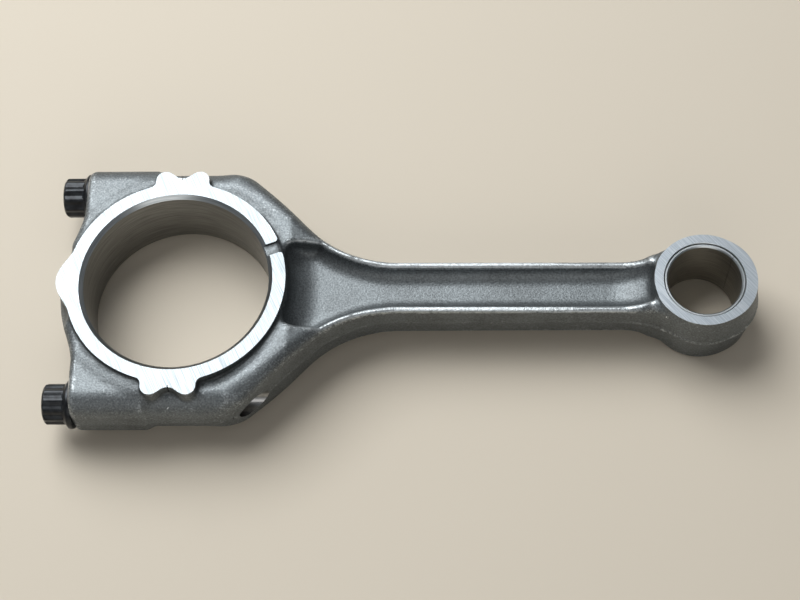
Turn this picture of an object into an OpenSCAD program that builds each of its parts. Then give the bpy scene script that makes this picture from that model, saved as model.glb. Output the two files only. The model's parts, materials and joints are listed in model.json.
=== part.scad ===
// Connecting rod for a car engine, with its fracture-split cap, two cap bolts and small-end bush.
// Origin: centre of the big-end bore at mid-thickness. +X points to the small end, +Z along both bores.

/* [Overall] */
// Distance between the big-end and small-end bore centres
centre_distance = 144; // [125:1:175]

/* [Big end] */
// Bore that the bearing shells seat in
big_bore_d = 51; // [43:0.5:61]
// Width over the two ground thrust faces
big_end_w = 23; // [19:0.5:28]
// Radial width of the metal ring behind each thrust face
thrust_ring_w = 5; // [4:0.5:6.5]
// Step from a thrust face down to the forged surface
thrust_step = 1.3; // [0.8:0.1:2]
// Chamfer at both mouths of the big bore
big_chamfer = 1.1; // [0.5:0.1:1.5]
// Width of the oil slot across the upper thrust face
oil_slot_w = 3.2; // [2:0.2:5]
// Depth of the oil slot
oil_slot_depth = 0.7; // [0.4:0.1:1]
// Direction of the oil slot, from the rod's long axis
oil_slot_angle = 20; // [10:1:40]
// How far the cap's crown stands out past the thrust ring
crown_wall = 2.8; // [2.4:0.1:6]

/* [Parting lugs] */
// Radius of the round lug on each side of the split line
lug_r = 3; // [2:0.5:4]
// Distance of each lug from the split line
lug_offset = 4.6; // [3.5:0.1:6]
// How far the lugs stand out of the thrust ring
lug_height = 3.65; // [2.5:0.05:5]
// Radius of the lug on the cap's crown
crown_lug_r = 6; // [4:0.5:8]
// How far the crown lug stands out of the thrust ring
crown_lug_height = 2.6; // [1.5:0.1:3.5]

/* [Cap bolts] */
// Thread diameter
bolt_d = 8; // [6.5:0.1:10]
// Length under the head
bolt_len = 44; // [40:0.2:46]
// Distance of the head's seat from the split line
bolt_seat_x = 27; // [24:0.1:30]
// Metal left between the big bore and a bolt hole
bore_to_bolt_hole = 2.3; // [1.6:0.1:4]
// Metal outside a bolt hole in the cap
cap_boss_wall = 1.9; // [1.5:0.1:4]
// Metal outside a bolt hole in the rod, and in the cap next to the split line
rod_boss_wall = 1.4; // [1.2:0.1:4]
// Length of the cap's narrower stretch next to the split line
cap_step_len = 5.5; // [3:0.5:8]
// Across flats of the twelve-point head
head_af = 10; // [8:0.5:12]
// Height of the twelve-point part of the head
head_h = 5.8; // [4.5:0.1:7.5]
// Flange diameter
flange_d = 13.4; // [12:0.2:15]
// Flange thickness at its rim
flange_h = 1.5; // [1:0.1:2]
// Height of the flange's cone
flange_cone_h = 0.8; // [0.4:0.1:1.2]

/* [Shank] */
// Width of the I-beam
shank_w = 15.2; // [12:0.2:18]
// Thickness of the I-beam at the small end
shank_t = 11; // [9:0.5:13]
// How much thicker the I-beam is at the big end
shank_taper = 1.3; // [0:0.1:2]
// Width of each rail
rail_w = 2; // [1.5:0.1:3]
// Thickness of the web between the grooves
web_t = 4.9; // [3.5:0.1:6.5]
// Length of the rod's bolt bosses along the rod, from the split line
rod_boss_len = 14.8; // [14:0.1:20]
// Radius of the flare from the shoulders into the shank
big_flare_r = 33.8; // [26:0.2:41]
// Radius of the flare from the shank into the small end
small_flare_r = 32; // [26:1:38]

/* [Small end] */
// Bore of the bush that the piston pin turns in
pin_bore_d = 20; // [17:0.5:24]
// Wall of the bush
bush_wall = 1; // [0.8:0.1:2]
// Radial width of the ring around the bush, at its face
small_ring_w = 2.85; // [2.4:0.05:4.5]
// Width over the two faces of the small end
small_end_w = 21; // [17:0.5:26]
// How much the small end's radius grows from its faces to the forging's mid-plane
small_draft = 0.9; // [0.3:0.1:1.5]
// How far each end of the bush lies below the face
bush_inset = 0.4; // [0.2:0.1:1]

/* [Fits] */
// Radial clearance of a bolt in the cap
cap_hole_clearance = 0.1; // [0.05:0.01:0.2]
// Radial clearance of a bolt's thread in the rod
thread_clearance = 0.05; // [0.02:0.01:0.1]

/* [Hidden] */

$fn = 96;
// Reach of cutting shapes past the surface they cut
over = 1;

big_r = big_bore_d / 2;
ring_r = big_r + thrust_ring_w;
thrust_z = big_end_w / 2;
body_z = thrust_z - thrust_step;

bolt_r = bolt_d / 2;
cap_hole_r = bolt_r + cap_hole_clearance;
rod_hole_r = bolt_r + thread_clearance;
bolt_y = big_r + bore_to_bolt_hole + cap_hole_r;

cap_boss_y = bolt_y + cap_hole_r + cap_boss_wall;
rod_boss_y = bolt_y + rod_hole_r + rod_boss_wall;
// The bosses are rounded in section: half-height and corner radius of each
cap_boss_drop = 0.6;
cap_boss_z = body_z - cap_boss_drop;
cap_boss_round = 6;
rod_boss_drop = 1.4;
rod_boss_z = body_z - rod_boss_drop;
rod_boss_round = 7.4;
crown_r = ring_r + crown_wall;
crown_drop = 0.4;
crown_z = body_z - crown_drop;

// Chamfer, trim and cone of the bolts
bolt_tip_chamfer = 0.8;
tip_trim = 0.18;
flange_cone_step = 2.4;

shank_hw = shank_w / 2;
// The shoulders fall away at 45 degrees and a flare arc runs on into the shank
shoulder_foot_x = rod_boss_len + rod_boss_y - shank_hw;
flare_tangent = big_flare_r * tan(22.5);
big_flare_x = shoulder_foot_x + flare_tangent;
big_flare_y = shank_hw + big_flare_r;

small_r = pin_bore_d / 2 + bush_wall + small_ring_w;
small_mid_r = small_r + small_draft;
small_z = small_end_w / 2;
bush_r = pin_bore_d / 2 + bush_wall;
bush_mouth = 0.15;
// How far from the small end's rim its flare and its rise begin, and where a groove ends
small_flare_start = 7.75;
small_flare_reach = 14.5;
groove_land = 1.75;
lug_root_part = 0.75;
small_flare_x = centre_distance - small_mid_r - small_flare_start;

// Side view: half-thickness of the I-beam and the radii that carry it up into both ends
shank_z_small = shank_t / 2;
shank_z_big = shank_z_small + shank_taper / 2;
big_rise_r = 140;
big_rise_start = 35.5;
big_rise_x = ring_r + big_rise_start;
small_rise_r = 12;
small_face_step = 0.3;
small_body_z = small_z - small_face_step;

// Grooves: floor height, end radii and the wide pocket behind the big end
web_z = web_t / 2;
pocket_hw = 12.6;
pocket_overlap = 0.1;
pocket_x = ring_r - pocket_overlap;
pocket_corner = 4;
pocket_floor_r = 9.5;
groove_end_x = centre_distance - small_mid_r - groove_land;
groove_rise_r = 22;

// Points of an arc about [cx, cy] from angle a0 to a1
function arc(cx, cy, r, a0, a1, n = 10) =
    [for (i = [0 : n]) let (a = a0 + (a1 - a0) * i / n) [cx + r * cos(a), cy + r * sin(a)]];

// The same points mirrored in Y and reversed, to close a symmetric outline
function mirrored(points) = [for (i = [len(points) - 1 : -1 : 0]) [points[i][0], -points[i][1]]];

module symmetric_plate(half_outline, half_height) {
    linear_extrude(height = 2 * half_height, center = true)
        polygon(concat(half_outline, mirrored(half_outline)));
}

// A solid of the given side view, as wide as the big end
module side_block(half_outline) {
    width = 4 * cap_boss_y;
    rotate([90, 0, 0])
        linear_extrude(height = width, center = true)
            polygon(concat(half_outline, mirrored(half_outline)));
}

// A bar along X with rounded corners: both bolt bosses and all between them
module boss_bar(x0, x1, half_y, half_z, round) {
    corner = arc(half_y - round, half_z - round, round, 90, 0, 8);
    right = concat(corner, mirrored(corner));
    left = [for (i = [len(right) - 1 : -1 : 0]) [-right[i][0], right[i][1]]];
    translate([x0, 0, 0])
        rotate([90, 0, 90])
            linear_extrude(height = x1 - x0)
                polygon(concat(right, left));
}

// Plan of the forging from the split line to the small end, one half
rod_half_outline = concat(
    [[0, rod_boss_y]],
    [[rod_boss_len, rod_boss_y]],
    arc(big_flare_x, big_flare_y, big_flare_r, 225, 270, 12),
    arc(small_flare_x, shank_hw + small_flare_r, small_flare_r, 270,
        270 + asin(small_flare_reach / small_flare_r), 6),
    [[centre_distance, small_r / 2]]
);

// Side view of the same stretch, one half: bosses, rise, I-beam, rise, small end
rod_side_outline = concat(
    [[0, body_z]],
    arc(big_rise_x, shank_z_big + big_rise_r, big_rise_r,
        270 - acos(1 - (body_z - shank_z_big) / big_rise_r), 270, 8),
    arc(small_flare_x, shank_z_small + small_rise_r, small_rise_r, 270,
        270 + acos(1 - (small_body_z - shank_z_small) / small_rise_r), 8),
    [[centre_distance, small_body_z]]
);

// Plan of a groove: the pocket behind the big end, the flare inside the rails, the round end
inner_flare_r = big_flare_r + rail_w;
inner_hw = shank_hw - rail_w;
pocket_flare_angle = acos((big_flare_y - pocket_hw) / inner_flare_r);
groove_half_outline = concat(
    arc(pocket_x + pocket_corner, pocket_hw - pocket_corner, pocket_corner, 180, 90, 6),
    arc(big_flare_x, big_flare_y, inner_flare_r, 270 - pocket_flare_angle, 270, 10),
    arc(groove_end_x - inner_hw, 0, inner_hw, 90, 10, 8)
);

// Side view of a groove, upper one: its floor curves up at both ends
groove_side_outline = concat(
    arc(pocket_x + pocket_floor_r, web_z + pocket_floor_r, pocket_floor_r, 180, 270, 8),
    arc(groove_end_x - groove_rise_run(), web_z + groove_rise_r, groove_rise_r, 270, 330, 8),
    [[centre_distance, thrust_z + 2 * over]],
    [[pocket_x, thrust_z + 2 * over]]
);
function groove_rise_run() = sqrt(pow(groove_rise_r, 2) - pow(groove_rise_r - shank_z_small + web_z, 2));

module groove() {
    intersection() {
        linear_extrude(height = 2 * thrust_z)
            polygon(concat(groove_half_outline, mirrored(groove_half_outline)));
        rotate([90, 0, 0])
            linear_extrude(height = 4 * pocket_hw, center = true)
                polygon(groove_side_outline);
    }
}

// The thrust ring with its three lugs, a full round
module thrust_ring() {
    cylinder(h = big_end_w, r = ring_r, center = true);
    for (side = [-1, 1], way = [-1, 1])
        translate([way * lug_offset, side * (ring_r + lug_height - lug_r), 0])
            cylinder(h = big_end_w, r = lug_r, center = true);
    // Metal between the two lugs of a pair, up to the notch at the split line
    cube([2 * lug_offset, 2 * (ring_r + lug_height - lug_r * lug_root_part), big_end_w], center = true);
    translate([crown_lug_r - ring_r - crown_lug_height, 0, 0])
        cylinder(h = big_end_w, r = crown_lug_r, center = true);
}

// Everything machined round the big bore: the bore and its two chamfered mouths
module big_bore_cut() {
    cylinder(h = big_end_w + 2 * over, r = big_r, center = true);
    for (side = [-1, 1])
        mirror([0, 0, side < 0 ? 1 : 0])
            translate([0, 0, thrust_z - big_chamfer])
                cylinder(h = big_chamfer + over, r1 = big_r, r2 = big_r + big_chamfer + over);
}

module bolt_holes(x0, x1, r) {
    for (side = [-1, 1])
        translate([x0, side * bolt_y, 0])
            rotate([0, 90, 0])
                cylinder(h = x1 - x0, r = r);
}

module oil_slot_cut() {
    rotate([0, 0, oil_slot_angle])
        translate([big_r, -oil_slot_w / 2, thrust_z - oil_slot_depth])
            cube([thrust_ring_w + 4 * over, oil_slot_w, oil_slot_depth + over]);
}

// Keeps one side of the split line: way 1 is the rod's side, -1 the cap's
module split_side(way) {
    reach = centre_distance + big_bore_d;
    intersection() {
        children();
        translate([way * reach / 2, 0, 0])
            cube([reach, 2 * reach, 2 * reach], center = true);
    }
}

module rod_forging() {
    color([0.47, 0.47, 0.46])
    difference() {
        split_side(1)
            union() {
                thrust_ring();
                intersection() {
                    symmetric_plate(rod_half_outline, thrust_z);
                    side_block(rod_side_outline);
                    boss_bar(-over, centre_distance + over, rod_boss_y, rod_boss_z, rod_boss_round);
                }
                translate([centre_distance, 0, 0])
                    for (way = [0, 1])
                        mirror([0, 0, way])
                            cylinder(h = small_z, r1 = small_mid_r, r2 = small_r);
            }
        big_bore_cut();
        oil_slot_cut();
        bolt_holes(-over, rod_boss_len + rod_boss_y, rod_hole_r);
        groove();
        mirror([0, 0, 1])
            groove();
        translate([centre_distance, 0, 0])
            cylinder(h = small_end_w + 2 * over, r = bush_r, center = true);
        for (way = [0, 1])
            mirror([0, 0, way])
                translate([centre_distance, 0, small_z - bush_mouth])
                    cylinder(h = bush_mouth + over, r1 = bush_r, r2 = bush_r + bush_mouth + over);
    }
}

module bearing_cap() {
    color([0.47, 0.47, 0.46])
    difference() {
        split_side(-1)
            union() {
                thrust_ring();
                cylinder(h = 2 * crown_z, r = crown_r, center = true);
                boss_bar(-bolt_seat_x, -cap_step_len, cap_boss_y, cap_boss_z, cap_boss_round);
                boss_bar(-cap_step_len - over, over, rod_boss_y, rod_boss_z, rod_boss_round);
            }
        big_bore_cut();
        bolt_holes(-bolt_seat_x - crown_r, over, cap_hole_r);
    }
}

// Twelve-point drive: the tips of two crossed hexagons, cut flat, with the valleys between them
module twelve_point_head() {
    tip_r = head_af / 2 / cos(30) - tip_trim;
    valley_r = head_af / 2 / cos(15);
    tip_half_angle = 2;
    outline = [for (i = [0 : 11]) for (k = [0 : 2])
        k == 0 ? [tip_r * cos(30 * i - tip_half_angle), tip_r * sin(30 * i - tip_half_angle)]
        : k == 1 ? [tip_r * cos(30 * i + tip_half_angle), tip_r * sin(30 * i + tip_half_angle)]
        : [valley_r * cos(30 * i + 15), valley_r * sin(30 * i + 15)]];
    linear_extrude(height = head_h)
        polygon(outline);
}

// A flanged bolt at the origin, its seat at X = 0 and its shank towards +X
module cap_bolt() {
    rotate([0, 90, 0]) {
        cylinder(h = bolt_len - bolt_tip_chamfer, r = bolt_r);
        translate([0, 0, bolt_len - bolt_tip_chamfer])
            cylinder(h = bolt_tip_chamfer, r1 = bolt_r, r2 = bolt_r - bolt_tip_chamfer);
        mirror([0, 0, 1]) {
            cylinder(h = flange_h, d = flange_d);
            translate([0, 0, flange_h])
                cylinder(h = flange_cone_h, d1 = flange_d, d2 = flange_d - flange_cone_step);
            translate([0, 0, flange_h + flange_cone_h])
                twelve_point_head();
        }
    }
}

module upper_cap_bolt() {
    color([0.09, 0.09, 0.10])
    translate([-bolt_seat_x, bolt_y, 0])
        cap_bolt();
}

module lower_cap_bolt() {
    color([0.09, 0.09, 0.10])
    translate([-bolt_seat_x, -bolt_y, 0])
        cap_bolt();
}

module small_end_bush() {
    length = small_end_w - 2 * bush_inset;
    color([0.42, 0.41, 0.38])
    translate([centre_distance, 0, 0])
        difference() {
            cylinder(h = length, r = bush_r, center = true);
            cylinder(h = length + 2 * over, d = pin_bore_d, center = true);
        }
}

rod_forging();
bearing_cap();
upper_cap_bolt();
lower_cap_bolt();
small_end_bush();
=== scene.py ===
# %% [markdown]
# # A forged connecting rod
# This lesson dresses a imported model of a car engine's connecting rod: the rod and its bearing cap,
# two cap bolts and the bush that the piston pin turns in. The imported model is a fixed frame. It
# says where everything is, so each new piece is made in place, in metres, and rides on a body of
# that frame. This first cell loads the frame.

# %% Load the frame
import json
import math

import bmesh
import bpy
import numpy as np
import openvdb
from mathutils import Matrix, Vector, noise


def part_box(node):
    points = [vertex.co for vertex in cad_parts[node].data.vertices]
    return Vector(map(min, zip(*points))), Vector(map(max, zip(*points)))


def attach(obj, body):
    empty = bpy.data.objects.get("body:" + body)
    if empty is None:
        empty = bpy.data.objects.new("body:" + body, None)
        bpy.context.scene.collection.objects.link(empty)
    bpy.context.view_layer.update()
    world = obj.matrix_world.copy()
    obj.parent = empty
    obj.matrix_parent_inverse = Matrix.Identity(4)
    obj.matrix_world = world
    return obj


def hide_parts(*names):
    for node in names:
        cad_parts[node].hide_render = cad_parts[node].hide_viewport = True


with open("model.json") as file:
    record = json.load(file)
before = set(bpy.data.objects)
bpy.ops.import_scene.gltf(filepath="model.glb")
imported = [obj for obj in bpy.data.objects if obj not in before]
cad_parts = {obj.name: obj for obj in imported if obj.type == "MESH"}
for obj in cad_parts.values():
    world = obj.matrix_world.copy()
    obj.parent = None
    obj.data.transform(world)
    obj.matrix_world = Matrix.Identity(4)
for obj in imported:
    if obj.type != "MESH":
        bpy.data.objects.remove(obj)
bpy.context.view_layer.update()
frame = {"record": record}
MM = 0.001

# %% [markdown]
# ## Sizes that the frame gives
# The bores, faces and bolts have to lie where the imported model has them, so their sizes are read
# from its mounts and its nodes' boxes. From here on, all lengths are in millimetres until a mesh is
# made. The rod lies with its big bore at the origin and its small end towards +X.

# %% Read the main sizes
mounts = {mount["name"]: mount for mount in frame["record"]["mounts"]}


def box_mm(node):
    return [np.array(corner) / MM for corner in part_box(node)]


rod_low, rod_high = box_mm("rod_forging")
cap_low, cap_high = box_mm("bearing_cap")
bolt_low, bolt_high = box_mm("upper_cap_bolt")
bush_low, bush_high = box_mm("small_end_bush")

big_r = mounts["big_end_bore"]["dims"]["r_mm"]
pin_r = mounts["small_end_bore"]["dims"]["r_mm"]
centre_x = mounts["small_end_bore"]["pos_m"][0] / MM
thrust_z = rod_high[2]
bush_r = (bush_high[1] - bush_low[1]) / 2
bush_z = bush_high[2]
bush_inset = 0.4
pin_face_z = bush_z + bush_inset
rod_boss_y = rod_high[1]
cap_boss_y = cap_high[1]
bolt_y = (bolt_low[1] + bolt_high[1]) / 2
bolt_tip_x = bolt_high[0]
bolt_len = 44.0
seat_x = bolt_tip_x - bolt_len
facer_r, facer_floor_r = 9.6, 7.6
tap_drill_r = 3.45
print(f"centres {centre_x:.1f}, big bore {2 * big_r:.1f}, pin bore {2 * pin_r:.1f}, "
      f"bolts at y {bolt_y:.2f} mm")

# %% [markdown]
# ## The forging as a distance field
# A forging has no crisp edges: the die gives it draft on every side, a fillet in every hollow and a
# round on every edge, and they run into each other. Box modelling with subdivision could make it,
# but each blend would be shaped by hand. Here the shape is a field instead: for each point of a
# fine grid, the distance to the steel's surface, negative inside. Two shapes are joined by taking
# the smaller distance, and the two functions below do it with a fillet or a round of a true radius.

# %% Fillets and rounds
def joined(a, b, fillet):
    """Either shape, with a concave fillet where they meet."""
    corner = np.hypot(np.maximum(fillet - a, 0), np.maximum(fillet - b, 0))
    return np.maximum(fillet, np.minimum(a, b)) - corner


def within(a, b, rounding):
    """Only what is in both shapes, with a convex round where they meet."""
    corner = np.hypot(np.maximum(rounding + a, 0), np.maximum(rounding + b, 0))
    return np.minimum(-rounding, np.maximum(a, b)) + corner


def ramp(x, start, end):
    """0 before start, 1 after end, and smooth between."""
    t = np.clip((x - start) / (end - start), 0, 1)
    return t * t * (3 - 2 * t)


# %% [markdown]
# ## The outline from above
# The rod's outline is a straight bolt boss, a shoulder that falls away at 45 degrees, a long flare
# into the shank, and a shorter flare into the small end. Straight stretches give their distance
# directly. A flare is an arc, so its distance is measured from the arc's centre.

# %% Plan of the rod
shank_hw = 7.9
shoulder_sum = 54.3
shoulder_round = 4.0
big_flare_r = 33.8
small_flare_r = 32.0
eye_r = 14.75
small_flare_x = centre_x - eye_r - 7.75
shoulder_foot_x = shoulder_sum - shank_hw
flare_x = shoulder_foot_x + big_flare_r * math.tan(math.radians(22.5))
flare_y = shank_hw + big_flare_r


def rod_plan(x, y, boss_y):
    """Distance to the rod's outline: bosses, shoulders, shank and flares."""
    y = np.abs(y)
    shoulder = (x + y - shoulder_sum) / math.sqrt(2)
    outline = np.minimum(within(y - boss_y, shoulder, shoulder_round), y - shank_hw)
    dx, dy = x - flare_x, y - flare_y
    outline = np.where((dx < 0) & (dy < dx), big_flare_r - np.hypot(dx, dy), outline)
    dx, dy = x - small_flare_x, y - shank_hw - small_flare_r
    return np.where((dx > 0) & (dy < 0), small_flare_r - np.hypot(dx, dy), outline)


print(f"the big flare meets the shank at x {flare_x:.1f}, the small one leaves it at {small_flare_x:.1f} mm")

# %% [markdown]
# ## The ground ring and its lugs
# Round the big bore stands a ring, which the grinding wheel later cuts flat. It has two lugs on
# each side of the split line and one on the cap's crown. Lugs are circles joined to the ring's
# circle with fillets. An oil slot leaves a gap in the ring on the upper side of the rod.

# %% Plan of the ring
ring_r = big_r + 5.0
lug_r = 2.95
lug_x = 4.85
lug_y = 31.2
notch_y = 32.1
crown_lug_r = 6.0
crown_lug_x = -27.1
slot_angle = math.radians(20)
slot_hw = 1.7


def ring_plan(x, y):
    """Distance to the thrust ring's outline, lugs included."""
    side = np.abs(y)
    above = np.maximum(side - lug_y, 0)
    lugs = joined(np.hypot(x - lug_x, above) - lug_r, np.hypot(x + lug_x, above) - lug_r, 1.5)
    lugs = np.maximum(lugs, 20 - side)
    between = within(np.abs(x) - 3, side - notch_y, 0.5)
    ring = joined(np.hypot(x, y) - ring_r, joined(lugs, between, 1.6), 1.0)
    return joined(ring, np.hypot(x - crown_lug_x, y) - crown_lug_r, 3.5)


def slot_plan(x, y):
    """Distance to the oil slot, which starts in the bore and runs out of the ring."""
    along = x * math.cos(slot_angle) + y * math.sin(slot_angle)
    across = y * math.cos(slot_angle) - x * math.sin(slot_angle)
    return np.maximum(np.abs(across) - slot_hw, big_r - 2 - along)


# %% [markdown]
# ## Heights, edges and grooves
# Seen from the side, the rod is thickest at the bosses and the eye and slimmest at the shank. The
# radius on its upper and lower edges changes too, from the round bolt bosses to the crisp rails.
# The I-beam's grooves are cut out of both faces: walls that follow the outline at a rail's width,
# a flat web, and a long concave slope at each end.

# %% Heights along the rod
shank_z_big = 6.6
shank_z_small = 6.3
rise_x = ring_r + 32
rise_r = 140.0
eye_rise_r = 12.0


def half_height(x, y):
    """Half-thickness of the forging before the ring and the eye are added."""
    rise = shank_z_big + rise_r - np.sqrt(rise_r**2 - np.clip(rise_x - x, 0, 60) ** 2)
    taper = (shank_z_big - shank_z_small) * np.clip((x - rise_x) / (small_flare_x - rise_x), 0, 1)
    eye = eye_rise_r - np.sqrt(eye_rise_r**2 - np.clip(x - small_flare_x, 0, 8.2) ** 2)
    boss = 9.6 - 0.8 * ramp(x, -8.2, -4.6) + 1.4 * ramp(x, 8, 28)
    foot = 0.5 * np.exp(-(((np.hypot(x, y) - ring_r - 0.5) / 1.6) ** 2))
    return np.minimum(rise - taper + eye, boss) - foot * (x < 60)


def edge_radius(x):
    """Radius on the upper and lower edges: large on the bosses, small on the rails."""
    boss = 6.0 + 1.4 * ramp(x, -8.2, -4.6) - 4.2 * ramp(x, 8, 30)
    return boss - 2.6 * ramp(x, 32, 56) + 1.5 * ramp(x, small_flare_x, centre_x - eye_r)


# %% Grooves of the I-beam
rail_w = 2.0
web_z = 2.45
wall_slope = 0.17
web_fillet = 3.6
pocket_hw = 12.6
pocket_x = ring_r - 1.2
pocket_r = 9.8
pocket_corner = 6.5
groove_end_x = centre_x - eye_r + 4.0
groove_rise_x = centre_x - 25.6
groove_rise_r = 18.0


def groove(x, y, z, plan, half):
    """Distance to the hollow between the rails, which is wider and deeper behind the big end."""
    from_big = np.hypot(x, y)
    walls = np.where(x > 100, np.abs(y) - shank_hw, plan) + rail_w + wall_slope * (half - z)
    pocket = within(np.abs(y) - pocket_hw, pocket_x - from_big, pocket_corner)
    walls = within(np.maximum(walls, pocket), x - groove_end_x, 4.0)
    slope = pocket_r - np.sqrt(np.maximum(pocket_r**2 - np.clip(pocket_x + pocket_r - from_big, 0,
                                                            pocket_r) ** 2, 0))
    runout = groove_rise_r - np.sqrt(groove_rise_r**2 - np.clip(x - groove_rise_x, 0, 14) ** 2)
    return within(walls, web_z + slope + runout - z, web_fillet)


# %% [markdown]
# ## Forge it in one piece
# The real rod and cap are forged as one and cracked apart later, so the field is one shape as well.
# The grid is filled, and the library behind Blender's voxel tools turns the zero surface into
# quads. Along the middle runs the low ridge that is left where the flash was trimmed.

# %% Fill the field and skin it
voxel = 0.45
die_draft = 0.05
flash_height = 0.35
flash_hw = 0.45
grind_stock = 0.7
crown_r = 33.3
crown_z = 9.8
low = np.array([-36.0, -40.0, -13.0])
high = np.array([163.0, 40.0, 13.0])
counts = np.ceil((high - low) / voxel).astype(int)
grid_x, grid_y, grid_z = np.meshgrid(*[low[i] + voxel * np.arange(counts[i]) for i in range(3)],
                                     indexing="ij", sparse=True)


def forging_field(x, y, z):
    """The whole forging, with stock left on the faces that are ground."""
    up = z > 0
    wander = 0.35 * np.sin(x / 4.1) + 0.2 * np.sin(x / 1.7 + y / 3.0)
    flash = flash_height * (0.3 + 0.7 * ramp(x, 118, 130)) * np.exp(-(((z - wander) / flash_hw) ** 2))
    z = np.abs(z)
    boss_y = cap_boss_y - (cap_boss_y - rod_boss_y) * ramp(x, -8.2, -4.6)
    plan = rod_plan(x, y, boss_y)
    half = half_height(x, y)
    side = plan + die_draft * z - flash
    body = within(within(side, z - half, edge_radius(x)), seat_x - 0.5 - x, 2.0)
    body = within(body, x - centre_x + 8.5, 3.0)
    crown = within(np.hypot(x, y) - crown_r + die_draft * z, z - crown_z, 2.6)
    body = joined(body, within(crown, x + 3, 4.0), 3.0)
    body = within(body, -groove(x, y, z, plan, half), 1.2 - 0.7 * ramp(x, 42, 62))
    ring = within(ring_plan(x, y) + 0.03 * z, z - thrust_z - grind_stock, 0.1)
    slot = np.maximum(slot_plan(x, y), thrust_z - 0.75 - z)
    ring = np.where(up, within(ring, -slot, 0.9), ring)
    body = joined(body, ring, 0.6)
    from_pin = np.hypot(x - centre_x, y)
    tip = ramp((x - centre_x) / np.maximum(from_pin, 1), 0.4, 1.0)
    reach = eye_r - 0.08 * z + tip * (1 - 0.4 * z / pin_face_z) - 0.9 * flash_height
    eye = within(from_pin - reach - flash, z - pin_face_z - grind_stock, 0.1)
    return joined(body, eye, 1.6)


field = forging_field(grid_x, grid_y, grid_z).astype(np.float32)
grid = openvdb.FloatGrid(background=3.0)
grid.copyFromArray(field)
points, quads = grid.convertToQuads(isovalue=0.0)
points = low + voxel * np.asarray(points, float)
print(f"{len(quads)} quads on the whole forging")

# %% Where the skin is bent
# The field's second difference is 1 over the radius: positive on an edge, negative in a fillet
bend = np.zeros_like(field)
bend[1:-1, 1:-1, 1:-1] = (field[2:, 1:-1, 1:-1] + field[:-2, 1:-1, 1:-1] + field[1:-1, 2:, 1:-1]
                          + field[1:-1, :-2, 1:-1] + field[1:-1, 1:-1, 2:] + field[1:-1, 1:-1, :-2]
                          - 6 * field[1:-1, 1:-1, 1:-1]) / voxel**2


def mark_bend(obj):
    """Keeps the bend of the skin at each vertex, for the wear and painted highlight on edges and the painted
    shade in hollows.
    """
    places = np.empty(len(obj.data.vertices) * 3)
    obj.data.vertices.foreach_get("co", places)
    cell = np.round((places.reshape(-1, 3) / MM - low) / voxel).astype(int)
    cell = np.clip(cell, 1, counts - 2)
    values = sum(bend[cell[:, 0] + i, cell[:, 1] + j, cell[:, 2] + k]
                 for i in (-1, 0, 1) for j in (-1, 0, 1) for k in (-1, 0, 1)) / 27
    obj.data.attributes.new("bend", "FLOAT", "POINT").data.foreach_set("value", values.astype(np.float32))
    print(obj.name, "bend from", round(float(values.min()), 2), "to", round(float(values.max()), 2),
          "per mm")


# %% [markdown]
# ## From numbers to a mesh
# Each mesh is made from its points and faces in one go, and its normals are turned outwards. The
# lathe below turns a profile of (radius, height) points about an axis, for everything round.

# %% Mesh and lathe
def clean(bm):
    """Join points that lie together and drop the slivers that leaves."""
    bmesh.ops.remove_doubles(bm, verts=bm.verts, dist=1e-7)
    bmesh.ops.dissolve_degenerate(bm, edges=bm.edges, dist=1e-8)


def make_object(name, points, faces):
    """A new object at the origin with this mesh, given in millimetres."""
    mesh = bpy.data.meshes.new(name)
    mesh.from_pydata((np.asarray(points, float) * MM).tolist(), [], np.asarray(faces).tolist()
                     if not isinstance(faces, list) else faces)
    bm = bmesh.new()
    bm.from_mesh(mesh)
    clean(bm)
    bmesh.ops.recalc_face_normals(bm, faces=bm.faces)
    bm.to_mesh(mesh)
    bm.free()
    obj = bpy.data.objects.new(name, mesh)
    bpy.context.collection.objects.link(obj)
    return obj


def lathe(name, profile, centre, axis="Z", segments=192, start=0.0, sweep=360.0):
    """Turns (radius, height) points about an axis. A full turn closes on itself; less is capped."""
    full = sweep >= 360
    steps = segments if full else segments + 1
    angles = np.radians(start + sweep * np.arange(steps) / segments)
    rows = [[(r * math.cos(a), r * math.sin(a), h) for r, h in profile] for a in angles]
    points = np.array(rows).reshape(-1, 3)
    if axis == "X":
        points = points[:, [2, 0, 1]]
    n = len(profile)
    faces = []
    for i in range(segments):
        j = (i + 1) % steps
        for k in range(n):
            m = (k + 1) % n
            faces.append([i * n + k, j * n + k, j * n + m, i * n + m])
    if not full:
        faces.append(list(range(n)))
        faces.append([segments * n + k for k in range(n)])
    return make_object(name, points + np.array(centre), faces)


forging = make_object("forging", points, quads)
print(f"forging: {len(forging.data.polygons)} faces")

# %% [markdown]
# ## Machining
# Machined faces are the opposite of forged ones: exact, flat or round, with crisp edges. They are
# cut the way the shop cuts them, each with a tool of the right shape, by boolean difference. A
# remesh or a bevel would blur the very edges that tell the eye where the metal was cut.

# %% Boolean tool
def boolean(obj, tool, operation="DIFFERENCE", keep_tool=False):
    """Applies one cut or union to obj and puts the tool away."""
    modifier = obj.modifiers.new("cut", "BOOLEAN")
    modifier.object = tool
    modifier.operation = operation
    modifier.solver = "MANIFOLD"
    graph = bpy.context.evaluated_depsgraph_get()
    mesh = bpy.data.meshes.new_from_object(obj.evaluated_get(graph))
    obj.modifiers.remove(modifier)
    old = obj.data
    obj.data = mesh
    bpy.data.meshes.remove(old)
    if not keep_tool:
        bpy.data.objects.remove(tool)
    return obj


def block(name, low, high):
    """A box between two corners, as a cutting tool."""
    corners = [(x, y, z) for x in (low[0], high[0]) for y in (low[1], high[1]) for z in (low[2], high[2])]
    faces = [[0, 1, 3, 2], [4, 6, 7, 5], [0, 4, 5, 1], [2, 3, 7, 6], [0, 2, 6, 4], [1, 5, 7, 3]]
    return make_object(name, corners, faces)


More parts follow.
